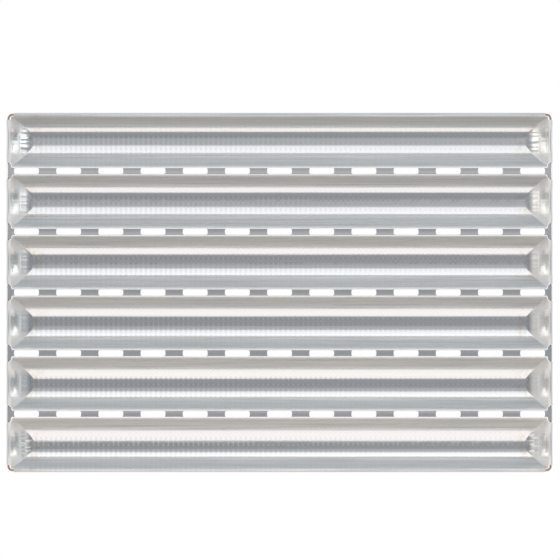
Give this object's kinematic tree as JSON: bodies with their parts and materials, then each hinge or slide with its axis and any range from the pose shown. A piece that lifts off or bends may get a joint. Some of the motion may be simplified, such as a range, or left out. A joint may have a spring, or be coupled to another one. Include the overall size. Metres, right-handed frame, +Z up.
{
  "type": "baguette pan",
  "caption": "Wide sheet-metal baking tray of parallel round-bottomed troughs with sloping ends, joined by slotted ridge strips and held by a wired rim, for shaping and baking long loaves.",
  "frame": {"origin": "middle of the pan, on the surface that it stands on", "axes": "+X along the troughs, +Y across them, +Z up out of the open tops"},
  "size_m": [0.6, 0.395, 0.028],
  "materials": {
    "aluminised_steel": "bright rolled aluminised steel sheet with fine perforations, lightly clouded by use",
    "bare_steel_wire": "bare drawn steel wire, browned by the oven"
  },
  "bodies": {
    "root": {"rim_wire": "bare_steel_wire", "trough_1": "aluminised_steel", "end_plate_left_1": "aluminised_steel", "end_plate_right_1": "aluminised_steel", "trough_2": "aluminised_steel", "end_plate_left_2": "aluminised_steel", "end_plate_right_2": "aluminised_steel", "trough_3": "aluminised_steel", "end_plate_left_3": "aluminised_steel", "end_plate_right_3": "aluminised_steel", "trough_4": "aluminised_steel", "end_plate_left_4": "aluminised_steel", "end_plate_right_4": "aluminised_steel", "trough_5": "aluminised_steel", "end_plate_left_5": "aluminised_steel", "end_plate_right_5": "aluminised_steel", "trough_6": "aluminised_steel", "end_plate_left_6": "aluminised_steel", "end_plate_right_6": "aluminised_steel", "ridge_strip_1": "aluminised_steel", "ridge_strip_2": "aluminised_steel", "ridge_strip_3": "aluminised_steel", "ridge_strip_4": "aluminised_steel", "ridge_strip_5": "aluminised_steel"}
  },
  "joints": []
}
